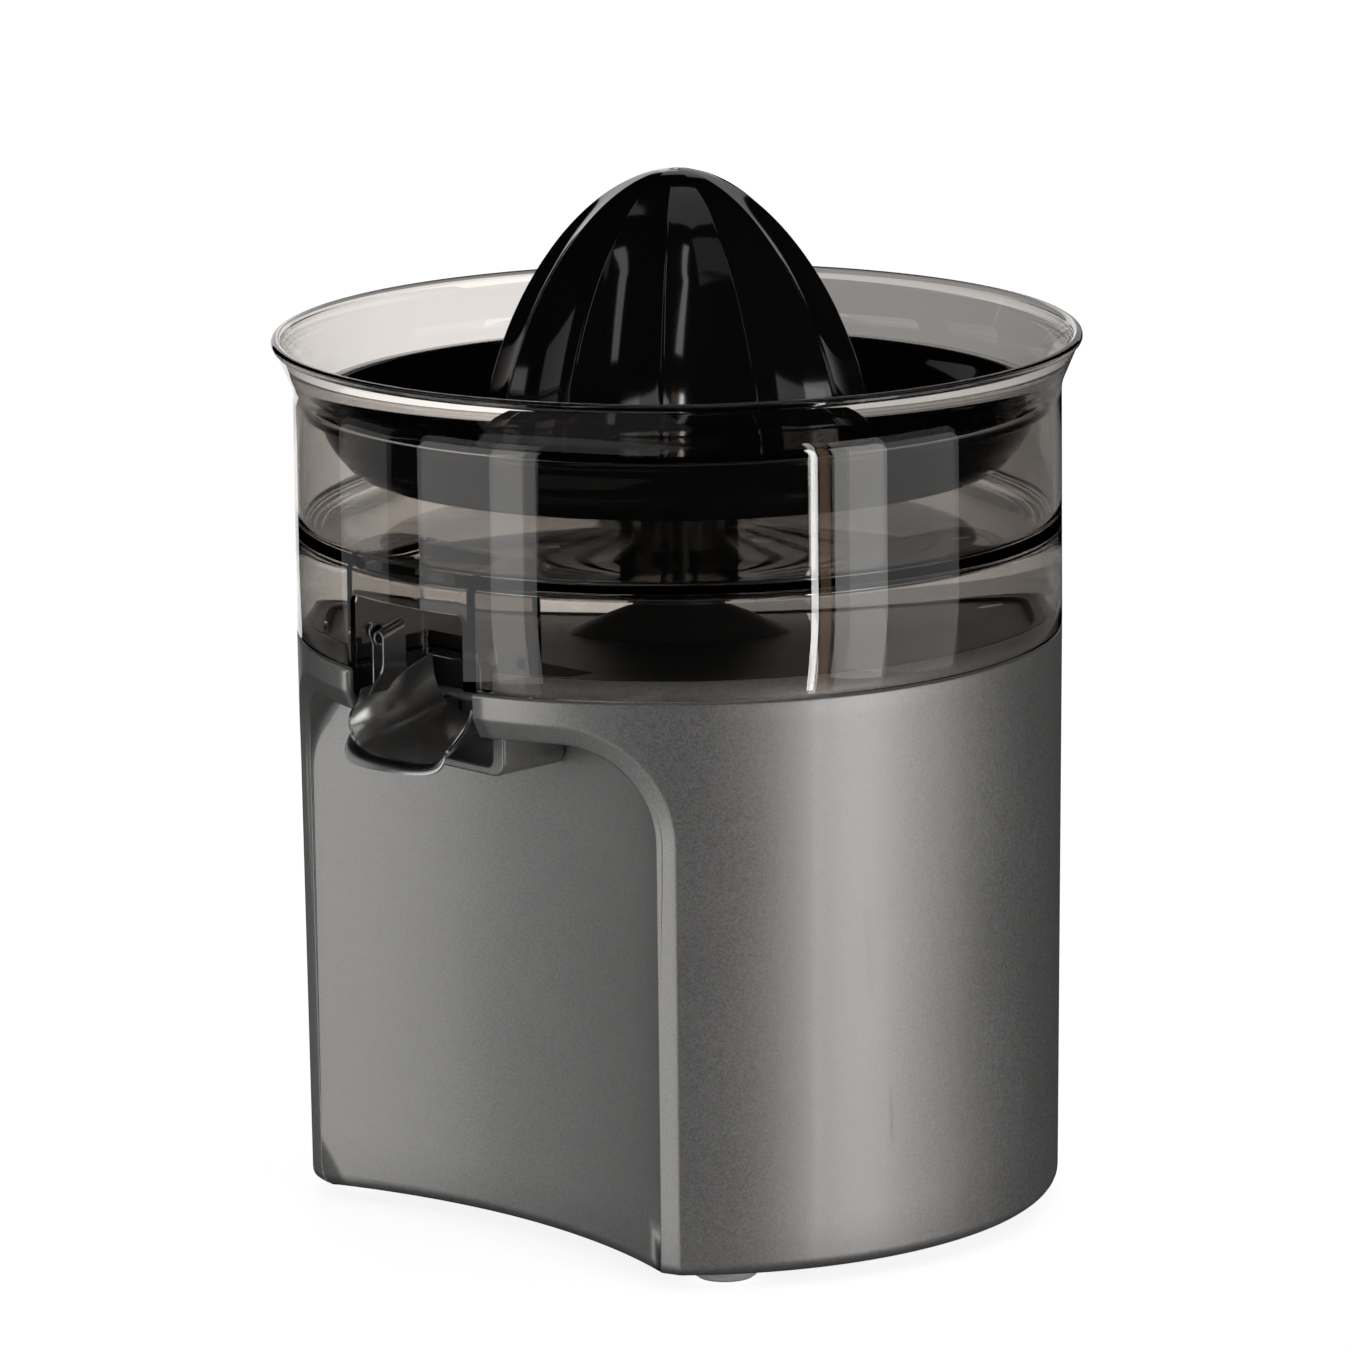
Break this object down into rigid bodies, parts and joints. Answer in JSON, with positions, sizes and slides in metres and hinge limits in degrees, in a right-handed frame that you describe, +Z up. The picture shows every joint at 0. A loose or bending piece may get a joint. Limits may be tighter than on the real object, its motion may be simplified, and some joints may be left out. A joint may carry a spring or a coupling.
{
  "type": "electric citrus press juicer",
  "caption": "Electric citrus press: ribbed reaming cone over a strainer in a smoked juice bowl, on a round motor base with a hollow bay for a glass under a tilting steel spout.",
  "frame": {"origin": "on the cone's axis, at the bottom of the feet", "axes": "+Z up, -Y towards the front with the spout and the bay for the glass, +X to the right when looking along +Y"},
  "size_m": [0.174, 0.174, 0.2257],
  "materials": {
    "body_paint": "satin metallic grey paint with a fine speckle",
    "cone_black": "polished black moulding",
    "matt_black": "fine satin black moulding",
    "smoked_clear": "polished smoked transparent moulding",
    "steel": "brushed stainless sheet",
    "zinc": "zinc plated",
    "foot_pad": "soft translucent pad",
    "nylon": "natural nylon",
    "bronze": "sintered bronze",
    "magnet": "ferrite",
    "winding": "enamelled wire on a laminated core",
    "board": "printed board"
  },
  "bodies": {
    "base": {"body_shell": "body_paint", "base_plate": "matt_black", "feet": "foot_pad", "base_screws": "zinc", "top_deck": "matt_black", "deck_screws": "zinc", "tower_bush": "bronze", "shaft_seal": "matt_black", "cord_gland": "matt_black", "cord_clamp": "matt_black", "gear_tray": "zinc", "gear_cover": "zinc", "gear_pillars": "zinc", "gear_screws": "zinc", "lower_bush": "bronze", "upper_bush": "bronze", "motor_can": "zinc", "motor_magnets": "magnet", "motor_end_cap": "matt_black", "motor_brushes": "magnet", "motor_bushes": "bronze", "motor_screws": "zinc", "idler_axle": "steel", "return_spring": "steel", "switch_body": "matt_black", "circuit_board": "board"},
    "rotor": {"motor_shaft": "steel", "motor_armature": "winding", "motor_commutator": "bronze", "motor_pinion": "bronze"},
    "idler": {"idler_wheel": "nylon"},
    "press": {"thrust_cup": "nylon"},
    "plunger": {"switch_plunger": "nylon"},
    "drive": {"drive_shaft": "steel", "output_wheel": "nylon", "retaining_clip": "zinc", "drive_key": "matt_black"},
    "bowl": {"juice_bowl": "smoked_clear"},
    "spout": {"spout": "steel", "spout_pins": "steel"},
    "strainer": {"strainer": "matt_black"},
    "cone": {"cone": "cone_black"}
  },
  "joints": [
    {"name": "bowl_lift", "type": "slide", "parent": "base", "child": "bowl", "axis": [0, 0, 1], "range_m": [0, 0.07]},
    {"name": "strainer_lift", "type": "slide", "parent": "bowl", "child": "strainer", "axis": [0, 0, 1], "range_m": [0, 0.035]},
    {"name": "spout_tilt", "type": "hinge", "parent": "bowl", "child": "spout", "pos_m": [0, -0.074, 0.134], "axis": [-1, 0, 0], "range_deg": [0, 18]},
    {"name": "shaft_press", "type": "slide", "parent": "base", "child": "press", "axis": [0, 0, -1], "range_m": [0, 0.0025], "stiffness_N_per_m": 1500, "springref_m": -0.004, "deforming": ["return_spring"]},
    {"name": "switch_travel", "type": "slide", "parent": "base", "child": "plunger", "axis": [0, 0, -1], "range_m": [0, 0.0025]},
    {"name": "shaft_spin", "type": "hinge", "parent": "press", "child": "drive", "pos_m": [0, 0, 0.1], "axis": [0, 0, 1], "continuous": true},
    {"name": "idler_spin", "type": "hinge", "parent": "base", "child": "idler", "pos_m": [0.024, 0.018, 0.09], "axis": [0, 0, 1], "continuous": true},
    {"name": "motor_spin", "type": "hinge", "parent": "base", "child": "rotor", "pos_m": [0, 0.025, 0.05], "axis": [0, 0, 1], "continuous": true},
    {"name": "cone_lift", "type": "slide", "parent": "drive", "child": "cone", "axis": [0, 0, 1], "range_m": [0, 0.14]}
  ],
  "couplings": [
    {"joint": "strainer_lift", "follows": "bowl_lift", "ratio": 0.5},
    {"joint": "cone_lift", "follows": "bowl_lift", "ratio": 2},
    {"joint": "switch_travel", "follows": "shaft_press", "ratio": 1},
    {"joint": "idler_spin", "follows": "shaft_spin", "ratio": -4},
    {"joint": "motor_spin", "follows": "shaft_spin", "ratio": 16}
  ]
}
